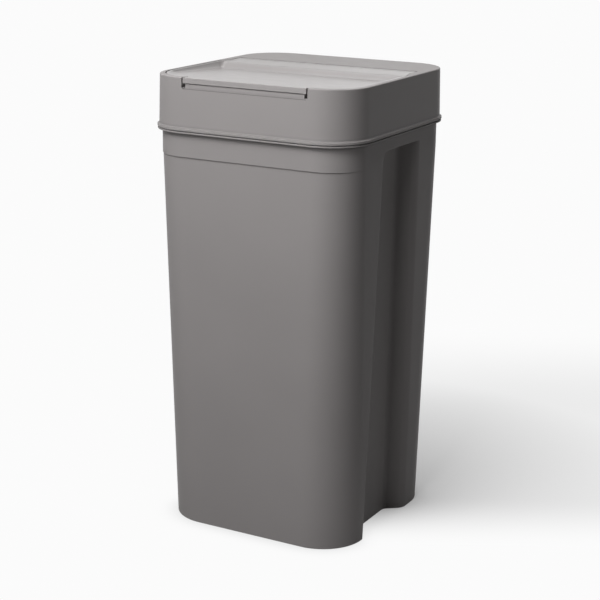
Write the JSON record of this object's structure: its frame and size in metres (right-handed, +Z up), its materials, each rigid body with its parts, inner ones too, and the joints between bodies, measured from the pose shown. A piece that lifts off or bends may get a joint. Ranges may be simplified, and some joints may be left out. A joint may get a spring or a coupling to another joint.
{
  "type": "airtight trash can",
  "caption": "Tall tapered plastic trash can with side grip channels, a lift-off lid frame, and a hinged dished flap that seals on a gasket above a folding bag hoop.",
  "frame": {"origin": "middle of the bounding box's bottom face, on the floor under the lid's centre", "axes": "+Z up; -Y towards the front, where the flap's lip is; +X to the right as seen from the front"},
  "size_m": [0.2668, 0.273, 0.5335],
  "materials": {
    "tub": "satin moulded polypropylene",
    "lid_frame": "satin moulded polypropylene",
    "frame_gasket": "soft silicone",
    "flap": "satin moulded polypropylene",
    "flap_liner": "matte moulded polypropylene",
    "flap_gasket": "soft silicone",
    "hinge_pin_left": "drawn steel",
    "hinge_pin_right": "drawn steel",
    "bag_hoop": "matte moulded polypropylene",
    "hoop_rod": "drawn steel"
  },
  "bodies": {
    "tub": {"tub": "tub"},
    "lid": {"lid_frame": "lid_frame", "frame_gasket": "frame_gasket", "hinge_pin_left": "hinge_pin_left", "hinge_pin_right": "hinge_pin_right", "hoop_rod": "hoop_rod"},
    "flap": {"flap": "flap", "flap_liner": "flap_liner", "flap_gasket": "flap_gasket"},
    "hoop": {"bag_hoop": "bag_hoop"}
  },
  "joints": [
    {"name": "lid_lift", "type": "slide", "parent": "tub", "child": "lid", "axis": [0, 0, 1], "range_m": [0, 0.12]},
    {"name": "flap_hinge", "type": "hinge", "parent": "lid", "child": "flap", "pos_m": [0, 0.055, 0.5294], "axis": [-1, 0, 0], "range_deg": [0, 95]},
    {"name": "hoop_hinge", "type": "hinge", "parent": "lid", "child": "hoop", "pos_m": [0, 0.044, 0.5085], "axis": [1, 0, 0], "range_deg": [0, 55]}
  ]
}
